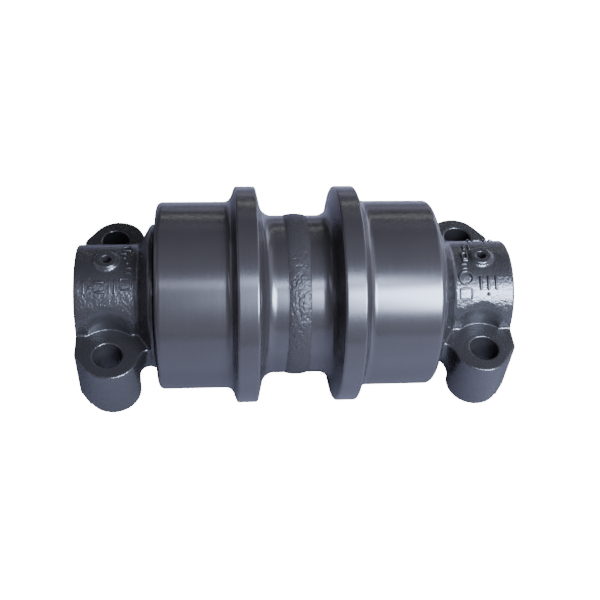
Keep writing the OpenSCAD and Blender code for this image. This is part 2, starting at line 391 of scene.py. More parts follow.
# %% Values for the collars
HUB_R = 44.3
HUB_FILLET = 2.5
CUP_FACE = SHELL_END + 1.0
CUP_RIM = CUP_FACE + 4.0
CUP_EDGE = 2.2
CONE_LENGTH = 10.2
BLOCK_START = 133.7
BLOCK_FILLET, BLOCK_EDGE = 10.0, 1.4
SPOT_R = 26.5
BOSS_INBOARD = 2.0  # mm from the bolt hole to the middle of the boss round it
BOSS_MORE = 1.0  # mm of casting left beyond the working solid's boss
DRAFT = 0.02  # mm of taper per mm of depth, so that the pattern leaves the sand
SPIGOT_R = 40.0
SPIGOT_END = THRUST_FACE + 3.5
PIN_BOSS_R = 9.3
PIN_BOSS_TOP = 46.5
PIN_BOSS_HALF = 8.0  # half of the height that it is drawn with, most of it inside the hub
PIN_BOSS_FILLET, PIN_BOSS_EDGE = 2.6, 1.3
PIN_HOLE_R = PIN_R + 0.3
BORE_R = SHAFT_R + 0.02
RELIEF_HALF = 26.0
RELIEF_DEPTH = 2.0
SAND_SWELL, SAND_PIMPLE = 0.05, 0.07  # heights of the cast skin's roughness, mm
NO_CUT = -9.0  # stands for "well inside", where a cutter doesn't reach
print("hub radius", HUB_R, "cup from", CUP_FACE, "mm, bosses of radius", round(BOSS_R + BOSS_MORE, 1))

# %% The casting


def boss_plan(x, s, z):
    """Distance in plan to the block and its two bosses, which narrow downwards by the draft.

    The flat between a boss and the outer corner is the tangent from the corner to the circle."""
    across = np.abs(x)
    centre, radius = BOLT_S - BOSS_INBOARD, BOSS_R + BOSS_MORE
    boss = np.hypot(across - BOLT_X, s - centre) - radius + DRAFT * (SEAT_Z - z)
    lean = math.acos(radius / (COLLAR_END - centre))
    n = (math.sin(lean), math.cos(lean))
    flat = (across - BOLT_X) * n[0] + (s - COLLAR_END) * n[1]
    beside = (across - BOLT_X) * n[1] - (s - centre) * n[0]
    wedge = np.maximum(np.maximum(flat, beside), centre - s)
    middle = np.maximum(across - BOLT_X, BLOCK_START - s)
    return np.minimum(np.minimum(boss, wedge), middle)


def casting(x, s, z):
    """The collar as it leaves the sand: hub, cone and cup, with block and bosses joined by fillets."""
    rho = np.hypot(x, z)
    rise, run = CUP_R - HUB_R, CONE_LENGTH
    slope = math.hypot(rise, run)
    cone = ((rho - CUP_R) * run + (s - CUP_RIM) * rise) / slope
    cup = common(common(rho - CUP_R, cone, CUP_EDGE), CUP_FACE - s, 0.8)
    body = join(np.maximum(rho - HUB_R, CUP_RIM - 6 - s), cup, HUB_FILLET)
    skirt = np.maximum(rho - CUP_R + 1.0, np.maximum(CUP_RIM - 2.5 - s, s - BLOCK_START - 8))
    base = join(skirt, boss_plan(x, s, z), BLOCK_FILLET)
    middle, half = (SEAT_Z + MOUNT_Z) / 2, (SEAT_Z - MOUNT_Z) / 2
    base = common(base, np.abs(z - middle) - half, BLOCK_EDGE)
    body = join(body, base, 2.0)
    level = np.abs(z - PIN_BOSS_TOP + PIN_BOSS_HALF) - PIN_BOSS_HALF
    pin_boss = common(np.hypot(x, s - PIN_S) - PIN_BOSS_R, level, PIN_BOSS_EDGE)
    body = join(body, pin_boss, PIN_BOSS_FILLET)
    outer_edge = 1.5 + 0.4 * ease(z, 0, 14)
    return common(body, s - COLLAR_END, outer_edge)


# %% The machining


def collar_distance(x, s, z):
    """The finished collar: the casting, roughened, less its machined faces, bores and seal room.

    Each cut is the intersection with the outside of the cutter, and its last number is the radius
    that breaks the edge. The spigot that holds the thrust face is added before the bore."""
    body = casting(x, s, z)
    near = np.abs(body) < 3.0
    px, ps, pz = x[near], s[near], z[near]
    swells = soft_noise(px, ps, pz, spacing=4.2)
    pimples = soft_noise(px, ps, pz, spacing=2.1, shift=5.7)
    body[near] += SAND_SWELL * swells + SAND_PIMPLE * pimples
    body = np.maximum(body, s - COLLAR_END + 0.04)
    rho = np.hypot(x, z)
    from_bolt = np.hypot(np.abs(x) - BOLT_X, s - BOLT_S)
    spot = np.maximum(from_bolt - SPOT_R, SEAT_Z - z)
    body = common(body, -spot, 0.7 + 3.3 * ease(z, SEAT_Z + 3, SEAT_Z + 12))
    body = common(body, np.where((z < 0) & (s > CUP_RIM - 1), MOUNT_Z - z, NO_CUT), 0.6)
    body = common(body, BOLT_HOLE_R - from_bolt, 0.8)
    pin_hole = np.where(z > 0, PIN_HOLE_R - np.hypot(x, s - PIN_S), NO_CUT)
    body = common(body, pin_hole, 0.3)
    relief = np.maximum(np.abs(x) - RELIEF_HALF, z - MOUNT_Z - RELIEF_DEPTH)
    relief = np.maximum(relief, CUP_RIM + 1 - s)
    body = common(body, -relief, 0.8)
    wall = (SEAL_MOUTH_R - SEAL_FLOOR_R) / (SEAL_DEPTH - 0.5)
    room = np.maximum(rho - SEAL_MOUTH_R + wall * (s - CUP_FACE), s - SEAL_MID - SEAL_DEPTH)
    body = common(body, -room, 0.6)
    spigot = common(rho - SPIGOT_R, np.maximum(SPIGOT_END - s, s - SEAL_MID - SEAL_DEPTH - 2), 0.8)
    body = np.minimum(body, spigot)
    bore_end = np.maximum(BORE_R - rho, BORE_R + 1.2 - rho - (COLLAR_END - s))
    return common(body, bore_end, 0.3)


# %% [markdown]
# ## A net over the field
# To turn the field into a skin, lay it on a cubic grid and keep the cells that it passes
# through. Each such cell gets one point, the mean of where the field is zero on its edges, and
# each grid edge that pierces the skin joins the four cells around it with a quad. The points
# then slide along the field's slope until they sit on the surface itself, so the steps of the
# grid don't show.

# %% Helpers that mesh a distance field
GRID = 1.1  # millimetres
EDGES = [(a, b) for a in range(8) for b in range(a + 1, 8) if bin(a ^ b).count("1") == 1]


def surface_net(values, low):
    """Points and quads of the zero level of values on a grid whose first corner is low."""
    inside = values < 0
    corners = np.array([[c >> 2 & 1, c >> 1 & 1, c & 1] for c in range(8)])
    views = [inside[a:a + inside.shape[0] - 1, b:b + inside.shape[1] - 1, c:c + inside.shape[2] - 1]
             for a, b, c in corners]
    filled = sum(v.astype(np.int8) for v in views)
    cells = np.argwhere((filled > 0) & (filled < 8))
    at = [values[tuple((cells + c).T)] for c in corners]
    total, crossings = np.zeros((len(cells), 3)), np.zeros((len(cells), 1))
    for a, b in EDGES:
        crosses = (at[a] < 0) != (at[b] < 0)
        part = np.where(crosses, at[a] / np.where(crosses, at[a] - at[b], 1), 0)[:, None]
        total += crosses[:, None] * (corners[a] + part * (corners[b] - corners[a]))
        crossings += crosses[:, None]
    points = low + GRID * (cells + total / crossings)
    number = np.full(filled.shape, -1, dtype=np.int64)
    number[tuple(cells.T)] = np.arange(len(cells))
    quads = []
    for axis in range(3):
        step = np.eye(3, dtype=int)[axis]
        side_b, side_c = np.eye(3, dtype=int)[(axis + 1) % 3], np.eye(3, dtype=int)[(axis + 2) % 3]
        first = inside[tuple(slice(0, n - k) for n, k in zip(inside.shape, step))]
        second = inside[tuple(slice(k, n) for n, k in zip(inside.shape, step))]
        where = np.argwhere(first != second)
        where = where[(where[:, (axis + 1) % 3] > 0) & (where[:, (axis + 2) % 3] > 0)]
        leaves = first[tuple(where.T)]
        around = [number[tuple((where - d).T)] for d in (0 * step, side_b, side_b + side_c, side_c)]
        quad = np.stack(around, axis=1)
        quads.append(np.where(leaves[:, None], quad, quad[:, ::-1]))
    return points, np.concatenate(quads)


def settle(points, distance, rounds=4):
    """Newton's steps: each point moves by -f * slope / |slope|^2, and by at most half a grid step."""
    nudge = 0.05  # mm, to feel the slope along each axis
    for _ in range(rounds):
        value = distance(points)
        slopes = [(distance(points + nudge * e) - value) / nudge for e in np.eye(3)]
        slope = np.stack(slopes, axis=1)
        move = -value[:, None] * slope / np.maximum((slope ** 2).sum(axis=1, keepdims=True), 0.25)
        length = np.linalg.norm(move, axis=1, keepdims=True)
        points = points + move * np.minimum(1, 0.5 * GRID / np.maximum(length, 1e-9))
    return points


# %% [markdown]
# ## Cast marks
# Foundries raise marks on a casting so that it can be traced. These say nothing: plain dots,
# bars, rings and frames. They could be part of the distance field, but their lines are hardly
# wider than its grid, so each is its own little closed skin, half sunk in the hub. It is worked
# out on the hub unrolled flat, by arc length from the top and distance along the shaft, and then
# rolled up again.

# %% Helpers for cast marks
MARK_LINE = 1.9
MARK_HEIGHT = 1.6
MARK_ROOT = 0.8  # how deep a mark is sunk
RING_STEPS, SECTION_STEPS = 44, 10
BALL_CELLS = 9


def roll_up(u, s, height):
    """Arc length u, distance s and height over the hub, to x, s, z: the radius is HUB_R + height."""
    radius = HUB_R + height
    return np.stack([radius * np.sin(u / HUB_R), s, radius * np.cos(u / HUB_R)], axis=-1).reshape(-1, 3)


def mark_height(sine):
    """The half ellipse over the hub, and a shallower one under it."""
    return np.where(sine > 0, MARK_HEIGHT, MARK_ROOT) * sine


def ring_mark(u, s, half_u, half_s, radius):
    """A rounded line that goes round a frame; the frame is a box grown outwards by the radius.

    The steps start 0.07 radians on, so that none falls where the sign of a sine or cosine turns."""
    around = np.linspace(0, 2 * np.pi, RING_STEPS, endpoint=False)[:, None] + 0.07
    section = np.linspace(0, 2 * np.pi, SECTION_STEPS, endpoint=False)[None, :]
    out = radius + MARK_LINE / 2 * np.cos(section)
    point_u = u + half_u * np.sign(np.cos(around)) + out * np.cos(around)
    point_s = s + half_s * np.sign(np.sin(around)) + out * np.sin(around)
    height = mark_height(np.sin(section)) + 0 * around
    return roll_up(point_u, point_s, height), ring_quads(around.size, section.size)


def solid_mark(u, s, half_u, half_s, radius):
    """A dot or bar: a squashed ball whose quarters are pulled apart by the half lengths.

    The ball is a cube with square sides of quads, pushed out to radius 1, so it has no poles."""
    line = np.tan(np.linspace(-1, 1, BALL_CELLS + 1) * np.pi / 4)
    a, b = np.meshgrid(line, line, indexing="ij")
    one = np.ones_like(a)
    row = BALL_CELLS + 1
    i, j = np.meshgrid(np.arange(BALL_CELLS), np.arange(BALL_CELLS), indexing="ij")
    first = (i * row + j).ravel()
    face = np.stack([first, first + row, first + row + 1, first + 1], axis=1)
    sides, quads = [], []
    for axis in range(3):
        for sign in (1, -1):
            side = np.roll(np.stack([sign * one, a, sign * b], axis=-1), axis, axis=-1)
            quads.append(face + len(sides) * one.size)
            sides.append(side.reshape(-1, 3))
    ball = np.concatenate(sides)
    ball /= np.linalg.norm(ball, axis=1, keepdims=True)
    points, same = np.unique(ball.round(6), axis=0, return_inverse=True)
    point_u = u + half_u * np.sign(points[:, 0]) + radius * points[:, 0]
    point_s = s + half_s * np.sign(points[:, 1]) + radius * points[:, 1]
    return roll_up(point_u, point_s, mark_height(points[:, 2])), same.ravel()[np.concatenate(quads)]


# %% Places of the marks
# Shape, arc length from the top towards +X, distance along the shaft, half lengths of the two, and
# the radius round them, in millimetres.
marks_left = [
    (solid_mark, 24.5, 174.2, 4.4, 0.0, 1.2),
    (solid_mark, 24.5, 169.4, 0.0, 0.0, 1.5),
    (solid_mark, 20.6, 161.8, 0.0, 3.0, 1.3),
    (solid_mark, 28.4, 161.8, 0.0, 3.0, 1.3),
    (solid_mark, 24.5, 153.6, 4.4, 0.0, 1.2),
    (solid_mark, 24.5, 149.4, 4.4, 0.0, 1.2),
    (ring_mark, 22.4, 140.6, 3.0, 3.0, 1.4),
    (solid_mark, 13.0, 138.6, 0.0, 1.6, 1.0),
    (solid_mark, 8.6, 138.6, 0.0, 1.6, 1.0),
    (solid_mark, 3.0, 139.6, 0.0, 0.0, 1.4),
    (solid_mark, -2.5, 142.0, 0.0, 0.0, 1.4),
    (solid_mark, -8.0, 143.0, 0.0, 1.6, 1.1),
    (ring_mark, -15.5, 140.6, 1.8, 2.4, 1.4),
]
marks_right = [
    (ring_mark, 20.9, 141.4, 0.0, 0.0, 5.6),
    (ring_mark, 34.3, 141.4, 3.2, 3.6, 1.4),
    (solid_mark, 12.4, 141.0, 0.0, 1.8, 1.0),
    (solid_mark, 8.4, 141.0, 0.0, 1.8, 1.0),
    (solid_mark, 25.3, 154.0, 4.6, 0.0, 1.5),
    (solid_mark, 25.3, 160.6, 4.6, 0.0, 1.5),
    (solid_mark, 25.3, 167.2, 4.6, 0.0, 1.5),
    (solid_mark, 34.6, 160.6, 0.0, 0.0, 1.7),
    (ring_mark, -0.6, 142.6, 1.6, 0.6, 1.6),
    (solid_mark, 4.6, 142.6, 0.0, 1.6, 1.0),
    (solid_mark, -12.0, 144.0, 2.6, 0.0, 1.1),
    (solid_mark, -12.0, 148.6, 2.6, 0.0, 1.1),
    (solid_mark, -30.4, 153.0, 2.4, 0.0, 1.3),
    (solid_mark, -31.0, 160.0, 0.0, 2.4, 1.3),
    (solid_mark, -30.4, 167.0, 1.8, 0.0, 1.3),
    (solid_mark, -31.0, 172.5, 0.0, 0.8, 1.3),
]
print("marks:", len(marks_left), "on the left hub and", len(marks_right), "on the right")

# %% Make both collars
MARGIN = 2.5  # mm of grid round the collar
SKIN_FADE = (0.3, 2.2)  # mm cut off the casting, from cast skin to machined face
MARK_CUT = 1.1  # what a mark counts as, so that its line carries less grain than the hub


def make_collar(name, side, marks):
    """Fills a grid with the collar's distances, nets it, settles the net and adds the marks' skins.

    `cast_skin` is 1 on the casting's own surface and fades to 0 where a tool has cut deeper."""
    low = np.array([-BOLT_X - BOSS_R, SPIGOT_END, -CUP_R]) - MARGIN
    high = np.array([BOLT_X + BOSS_R, COLLAR_END, CUP_R]) + MARGIN
    axes = [np.arange(a, b + GRID, GRID) for a, b in zip(low, high)]
    x, s, z = np.meshgrid(*axes, indexing="ij")
    values = collar_distance(x, s, z)
    points, quads = surface_net(values, low)
    points = settle(points, lambda p: collar_distance(*p.T))
    from_casting = np.abs(casting(*points.T))
    for shape, *place in marks:
        mark_points, mark_quads = shape(*place)
        quads = np.concatenate([quads, mark_quads + len(points)])
        points = np.concatenate([points, mark_points])
    from_casting = np.append(from_casting, np.full(len(points) - len(from_casting), MARK_CUT))
    piece = make_piece(name, points * [1, side, 1], quads)
    skin = piece.data.attributes.new("cast_skin", "FLOAT", "POINT")
    skin.data.foreach_set("value", (1 - ease(from_casting, *SKIN_FADE)).astype(np.float32))
    return piece


collars = {
    "left": make_collar("cast_collar_left", -1, marks_left),
    "right": make_collar("cast_collar_right", 1, marks_right),
}

# %% [markdown]
# ## Colour and a small node helper
# Paint makers give colours as hex codes, which are sRGB. Shaders work in linear light, so one
# function turns a code to linear numbers. A second function adds a node, sets what it is given
# and links what it is given, so a material reads as a list of its nodes.

# %% Helpers for materials


def from_hex(code):
    """Linear RGBA of an sRGB hex code: c / 12.92 below 0.04045, else ((c + 0.055) / 1.055) ^ 2.4."""
    srgb = [int(code[k:k + 2], 16) / 255 for k in (1, 3, 5)]
    return [c / 12.92 if c < 0.04045 else ((c + 0.055) / 1.055) ** 2.4 for c in srgb] + [1.0]


def add_node(tree, kind, settings=None, **links):
    """A node of that kind with its settings and links.

    A setting is an attribute of the node, or a socket's value if its key is a socket's number or
    name. A link's key is a socket's name, or an underscore and its number."""
    node = tree.nodes.new(kind)
    for key, value in (settings or {}).items():
        if isinstance(key, str) and hasattr(node, key):
            setattr(node, key, value)
        else:
            node.inputs[key].default_value = value
    for key, source in links.items():
        numbered = key[1:].isdigit()
        socket = int(key[1:]) if numbered else key.replace("_", " ")
        tree.links.new(source, node.inputs[socket])
    return node


def new_material(name, roughness, ior=1.5, metallic=0.0):
    """A material with one Principled shader; returns it, its tree, its shader and Object coordinates."""
    material = bpy.data.materials.new(name)
    material.use_nodes = True
    tree = material.node_tree
    shader = tree.nodes["Principled BSDF"]
    shader.inputs["Roughness"].default_value = roughness
    shader.inputs["IOR"].default_value = ior
    shader.inputs["Metallic"].default_value = metallic
    place = add_node(tree, "ShaderNodeTexCoord").outputs["Object"]
    return material, tree, shader, place


# %% [markdown]
# ## Dark enamel on turned steel
# The shell is sprayed with a black air-drying enamel; its cold grey is the room mirrored in it.
# Under it are the lathe's fine rings, which the paint nearly fills, so they only stretch a
# reflection a little. The paint is an insulator with an index near 1.5 and a roughness from 0.2
# to 0.27, which follows the rings. Its colour drifts by a few percent where the coat is thicker.

# %% Enamel on the shell
SPRAY_CLOUD = 45.0  # mm between thick and thin places in the coat
LATHE_RING = 1.2  # mm between tool marks; real ones are 0.2 mm, too fine to show
RING_STRETCH = (0.01, 1.0, 0.01)  # noise squeezed along Y alone makes rings round the shaft
ORANGE_PEEL = 1.8  # mm between the paint's own ripples
PAINT_RELIEF = 0.03  # mm from the bottom to the top of rings and ripples


def turned_enamel():
    """Black enamel whose colour drifts in clouds, over rings left by the lathe."""
    material, tree, shader, place = new_material("gloss_enamel_on_turned_steel", 0.24)
    cloud = add_node(tree, "ShaderNodeTexNoise", {"Scale": 1 / (SPRAY_CLOUD * MM), "Detail": 3.0},
                     Vector=place)
    tint = add_node(tree, "ShaderNodeMix",
                    {"data_type": "RGBA", 6: from_hex("#191716"), 7: from_hex("#1f1d1c")},
                    _0=cloud.outputs["Fac"])
    tree.links.new(tint.outputs[2], shader.inputs["Base Color"])
    rings = add_node(tree, "ShaderNodeMapping", {"Scale": RING_STRETCH}, Vector=place)
    tool = add_node(tree, "ShaderNodeTexNoise", {"Scale": 1 / (LATHE_RING * MM), "Detail": 2.0},
                    Vector=rings.outputs["Vector"])
    gloss = add_node(tree, "ShaderNodeMapRange", {"To Min": 0.2, "To Max": 0.27},
                     Value=tool.outputs["Fac"])
    tree.links.new(gloss.outputs["Result"], shader.inputs["Roughness"])
    peel = add_node(tree, "ShaderNodeTexNoise", {"Scale": 1 / (ORANGE_PEEL * MM), "Detail": 2.0},
                    Vector=place)
    low = add_node(tree, "ShaderNodeBump", {"Strength": 0.3, "Distance": PAINT_RELIEF * MM},
                   Height=tool.outputs["Fac"])
    top = add_node(tree, "ShaderNodeBump", {"Strength": 0.07, "Distance": PAINT_RELIEF * MM},
                   Height=peel.outputs["Fac"], Normal=low.outputs["Normal"])
    tree.links.new(top.outputs["Normal"], shader.inputs["Normal"])
    return material


# %% [markdown]
# ## Dark enamel on a sand casting
# The collars wear the same paint, but sand leaves pimples a millimetre or two across that the
# paint rounds over. The machined faces have none, so the bumps are scaled by the `cast_skin`
# value that each collar carries: 1 on the sand-cast skin and 0 where a tool has been. A cutter
# leaves fine rows instead, which make the paint on those faces rougher. The weld takes the same
# material with a rougher coat, and a low specular level stands for its scale and spatter, which
# are too fine to draw.

# %% Enamel on castings and weld
SAND_CLOUD = 25.0  # mm between thick and thin places in the coat
SAND_GRAIN, WELD_GRAIN = 1.8, 1.7  # mm between the larger pimples
FINE_GRAIN_WIDTH = 1.1  # mm between the smaller ones
SAND_DEPTH, WELD_DEPTH = 0.6, 0.5  # mm from the bottom to the top of the larger pimples
FINE_SHARE = 0.4  # depth of the smaller pimples, as a share of the larger
ROUGH_BUMP, MILLED_BUMP = 0.5, 0.04  # strength of the bumps on cast skin and on machined faces
MILLED_ROUGHNESS = 0.38
WELD_SPECULAR = 0.16
COAT_THICK, COAT_THIN = "#151413", "#1a1918"


def cast_enamel(name, dark, light, grain, depth, gloss_from, gloss_to, skin=None):
    """Black enamel over pimples; `skin` names the attribute that says where the pimples are."""
    material, tree, shader, place = new_material(name, 0.25)
    cloud = add_node(tree, "ShaderNodeTexNoise", {"Scale": 1 / (SAND_CLOUD * MM), "Detail": 3.0},
                     Vector=place)
    pimples = add_node(tree, "ShaderNodeTexNoise", {"Scale": 1 / (grain * MM), "Detail": 2.0},
                       Vector=place)
    fine = add_node(tree, "ShaderNodeTexNoise", {"Scale": 1 / (FINE_GRAIN_WIDTH * MM), "Detail": 1.0},
                    Vector=place)
    tint = add_node(tree, "ShaderNodeMix", {"data_type": "RGBA", 6: from_hex(dark), 7: from_hex(light)},
                    _0=cloud.outputs["Fac"])
    tree.links.new(tint.outputs[2], shader.inputs["Base Color"])
    gloss = add_node(tree, "ShaderNodeMapRange", {"To Min": gloss_from, "To Max": gloss_to},
                     Value=cloud.outputs["Fac"])
    low = add_node(tree, "ShaderNodeBump", {"Strength": ROUGH_BUMP, "Distance": depth * MM},
                   Height=pimples.outputs["Fac"])
    top = add_node(tree, "ShaderNodeBump", {"Strength": ROUGH_BUMP, "Distance": FINE_SHARE * depth * MM},
                   Height=fine.outputs["Fac"], Normal=low.outputs["Normal"])
    roughness = gloss.outputs["Result"]
    if skin:
        where = add_node(tree, "ShaderNodeAttribute", {"attribute_name": skin}).outputs["Fac"]
        strength = add_node(tree, "ShaderNodeMapRange", {"To Min": MILLED_BUMP, "To Max": ROUGH_BUMP},
                            Value=where)
        for bump in (low, top):
            tree.links.new(strength.outputs["Result"], bump.inputs["Strength"])
        milled = add_node(tree, "ShaderNodeMapRange", {"To Min": MILLED_ROUGHNESS}, Value=where,
                          To_Max=roughness)
        roughness = milled.outputs["Result"]
    tree.links.new(roughness, shader.inputs["Roughness"])
    tree.links.new(top.outputs["Normal"], shader.inputs["Normal"])
    return material


# %% Apply the enamels
shell_enamel = turned_enamel()
collar_enamel = cast_enamel("gloss_enamel_on_sand_casting", COAT_THICK, COAT_THIN, SAND_GRAIN,
                            SAND_DEPTH, 0.2, 0.28, skin="cast_skin")
weld_enamel = cast_enamel("gloss_enamel_on_weld_metal", "#1e1c1b", "#242221", WELD_GRAIN,
                          WELD_DEPTH, 0.33, 0.45)
weld_shader = weld_enamel.node_tree.nodes["Principled BSDF"]
weld_shader.inputs["Specular IOR Level"].default_value = WELD_SPECULAR

for hand, half in shell_halves.items():
    half.data.materials.append(shell_enamel)
    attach(half, "roller")
    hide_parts(f"roller_half_{hand}")
weld.data.materials.append(weld_enamel)
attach(weld, "roller")
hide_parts("weld_bead")
for hand, collar in collars.items():
    collar.data.materials.append(collar_enamel)
    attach(collar, "axle")
    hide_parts(f"collar_{hand}")
print("painted:", len(shell_halves), "shell halves, the weld and", len(collars), "collars")

# %% [markdown]
# ## Steel, bronze and rubber inside
# The small parts keep their working solids and only need finishes. Ground steel is a metal with
# fine scratches round it, the bush is bronze, the seal rings are chrome iron and the rings behind
# them nitrile rubber. The spray gun also reached the shaft's two ends, the lock pins and the plug.

# %% Finishes of the inner parts
SCRATCH_STRETCH = (0.05, 1.0, 0.05)  # shorter scratches than the lathe's rings
SCRATCH_DEPTH, RUBBER_DEPTH = 0.02, 0.05  # mm
BLOOM = 6.0  # mm between pale places on the rubber
SPRAY_DEPTH = 2.6  # mm that the spray reaches into the collar's bore


def metal(name, dark, light, roughness, scratch, painted_past=None):
    """A bare metal whose colour and roughness drift with fine scratches round the Y axis.

    Further from the middle than `painted_past` millimetres, the black enamel covers it."""
    material, tree, shader, place = new_material(name, roughness, metallic=1.0)
    rings = add_node(tree, "ShaderNodeMapping", {"Scale": SCRATCH_STRETCH}, Vector=place)
    lines = add_node(tree, "ShaderNodeTexNoise", {"Scale": 1 / (scratch * MM), "Detail": 3.0},
                     Vector=rings.outputs["Vector"])
    tint = add_node(tree, "ShaderNodeMix", {"data_type": "RGBA", 6: from_hex(dark), 7: from_hex(light)},
                    _0=lines.outputs["Fac"])
    tree.links.new(tint.outputs[2], shader.inputs["Base Color"])
    gloss = add_node(tree, "ShaderNodeMapRange",
                     {"To Min": roughness - 0.06, "To Max": roughness + 0.08},
                     Value=lines.outputs["Fac"])
    tree.links.new(gloss.outputs["Result"], shader.inputs["Roughness"])
    bump = add_node(tree, "ShaderNodeBump", {"Strength": 0.2, "Distance": SCRATCH_DEPTH * MM},
                    Height=lines.outputs["Fac"])
    tree.links.new(bump.outputs["Normal"], shader.inputs["Normal"])
    if painted_past:
        along = add_node(tree, "ShaderNodeSeparateXYZ", Vector=place).outputs["Y"]
        from_middle = add_node(tree, "ShaderNodeMath", {"operation": "ABSOLUTE"}, _0=along).outputs[0]
        bare = add_node(tree, "ShaderNodeMath", {"operation": "LESS_THAN", 1: painted_past * MM},
                        _0=from_middle)
        coat = add_node(tree, "ShaderNodeMix", {"data_type": "RGBA", 6: from_hex(COAT_THIN)},
                        _0=bare.outputs[0], _7=tint.outputs[2])
        tree.links.new(coat.outputs[2], shader.inputs["Base Color"])
        tree.links.new(bare.outputs[0], shader.inputs["Metallic"])
    return material


def nitrile():
    """Moulded nitrile rubber: near black, rough, with a faint bloom."""
    material, tree, shader, place = new_material("moulded_nitrile_rubber", 0.6, ior=1.52)
    bloom = add_node(tree, "ShaderNodeTexNoise", {"Scale": 1 / (BLOOM * MM), "Detail": 4.0},
                     Vector=place)
    tint = add_node(tree, "ShaderNodeMix",
                    {"data_type": "RGBA", 6: from_hex("#161616"), 7: from_hex("#242424")},
                    _0=bloom.outputs["Fac"])
    tree.links.new(tint.outputs[2], shader.inputs["Base Color"])
    bump = add_node(tree, "ShaderNodeBump", {"Strength": 0.2, "Distance": RUBBER_DEPTH * MM},
                    Height=bloom.outputs["Fac"])
    tree.links.new(bump.outputs["Normal"], shader.inputs["Normal"])
    return material


# %% Give each inner part its finish
finish_of_slot = {
    "ground_steel": metal("ground_steel", "#8d8f92", "#b4b6b9", 0.3, 0.5,
                          painted_past=COLLAR_END - SPRAY_DEPTH),
    "plug_steel": collar_enamel,
    "seal_iron": metal("lapped_chrome_iron", "#77787a", "#939496", 0.28, 0.4),
    "bronze": metal("rolled_bearing_bronze", "#8f6a35", "#b58a4c", 0.35, 0.6),
    "washer_copper": metal("annealed_copper", "#8a4f35", "#b06a48", 0.4, 0.8),
    "rubber": nitrile(),
}
slot_of_node = {part["node"]: part["material_slot"] for part in record["subparts"]}
for name, node in nodes.items():
    finish = finish_of_slot.get(slot_of_node[name])
    if name.startswith("lock_pin"):
        finish = collar_enamel
    if finish is not None:
        node.data.materials.clear()
        node.data.materials.append(finish)
print("finishes:", ", ".join(sorted(finish_of_slot)))

# %% [markdown]
# ## Floor, light and camera
# The roller stands on its flanges on a plain table in a dim room. A turned surface is a curved
# mirror that shows the room as bands of light, so each light is placed by the band that it should
# draw: a key softbox to the right of the camera gives the white band on the right tread, and
# narrow strips over it run on to the left with a thin line of light. Weak boxes behind and at
# the sides keep the other faces from going black.
#
# The gloss mirrors the table too, so a shadow and a pool of light are painted into the table's
# colour: painted dark under the roller and behind it on the left, where the roller's shadow falls,
# and painted paler in front, where the key's light falls. Seen directly it is plain white, and from
# below it is clear, so that the underside can be looked at.

# %% Floor
FLOOR_HALF = 6.0  # metres
WHITE = 16.0  # strength of the table and the room, seen directly
# The table's colour carries a painted shadow and painted light: the shadow colour under the roller and
# behind it on the left, the lit colour in front. BEHIND sets how far the painted shadow reaches behind,
# PALER where it gives way to the painted light, and DIMMER and FAR_SHADE a painted falloff of that light
# further out.
TABLE_PAINTED_SHADOW, TABLE_PAINTED_LIGHT = "#403e42", "#938f97"
BEHIND = (-0.38, 0.25, 0.0)  # a distance behind the roller counts for less, least on the left
PALER = (0.045, 0.17)  # metres over which the table pales
DIMMER, FAR_SHADE = (0.2, 0.5), 0.6  # metres over which it dims a little again, to that share

floor_z = cad_box[0][2]
floor_mesh = bpy.data.meshes.new("floor")
corners_round = ((-1, -1), (1, -1), (1, 1), (-1, 1))
floor_corners = [(x * FLOOR_HALF, y * FLOOR_HALF, floor_z) for x, y in corners_round]
floor_mesh.from_pydata(floor_corners, [], [(0, 1, 2, 3)])
floor = bpy.data.objects.new("floor", floor_mesh)
bpy.context.scene.collection.objects.link(floor)
print("table at z", round(floor_z, 4))

# %% The table's painted shadow and painted light
floor_paint, floor_tree, floor_shader, floor_place = new_material("white_table", 0.9)
in_front = add_node(floor_tree, "ShaderNodeSeparateXYZ", Vector=floor_place).outputs["X"]
behind = add_node(floor_tree, "ShaderNodeVectorMath", {"operation": "DOT_PRODUCT", 1: BEHIND},
                  _0=floor_place).outputs["Value"]
away = add_node(floor_tree, "ShaderNodeMath", {"operation": "MAXIMUM"}, _0=in_front,
                _1=behind).outputs[0]
near = add_node(floor_tree, "ShaderNodeMapRange", {"From Min": PALER[0], "From Max": PALER[1]},
                Value=away)
far = add_node(floor_tree, "ShaderNodeMapRange",
               {"From Min": DIMMER[0], "From Max": DIMMER[1], "To Min": 1.0, "To Max": FAR_SHADE},
               Value=away)
pale = add_node(floor_tree, "ShaderNodeMath", {"operation": "MULTIPLY"}, _0=near.outputs["Result"],
                _1=far.outputs["Result"])
# Painted shadow and painted light: the base colour runs from the shadow colour to the lit colour with
# distance from the roller.
shade = add_node(floor_tree, "ShaderNodeMix",
                 {"data_type": "RGBA", 6: from_hex(TABLE_PAINTED_SHADOW), 7: from_hex(TABLE_PAINTED_LIGHT)},
                 _0=pale.outputs[0])
floor_tree.links.new(shade.outputs[2], floor_shader.inputs["Base Color"])

# %% White seen directly, and clear from below
seen = add_node(floor_tree, "ShaderNodeLightPath").outputs["Is Camera Ray"]
glow = add_node(floor_tree, "ShaderNodeMath", {"operation": "MULTIPLY", 1: WHITE}, _0=seen)
floor_tree.links.new(glow.outputs[0], floor_shader.inputs["Emission Strength"])
floor_shader.inputs["Emission Color"].default_value = from_hex("#ffffff")
clear = add_node(floor_tree, "ShaderNodeBsdfTransparent").outputs["BSDF"]
from_below = add_node(floor_tree, "ShaderNodeNewGeometry").outputs["Backfacing"]
one_sided = add_node(floor_tree, "ShaderNodeMixShader", _0=from_below, _1=floor_shader.outputs["BSDF"],
                     _2=clear)
floor_tree.links.new(one_sided.outputs["Shader"], floor_tree.nodes["Material Output"].inputs["Surface"])
floor_mesh.materials.append(floor_paint)
print("table shaded with", len(floor_tree.nodes), "nodes")

# %% Lights


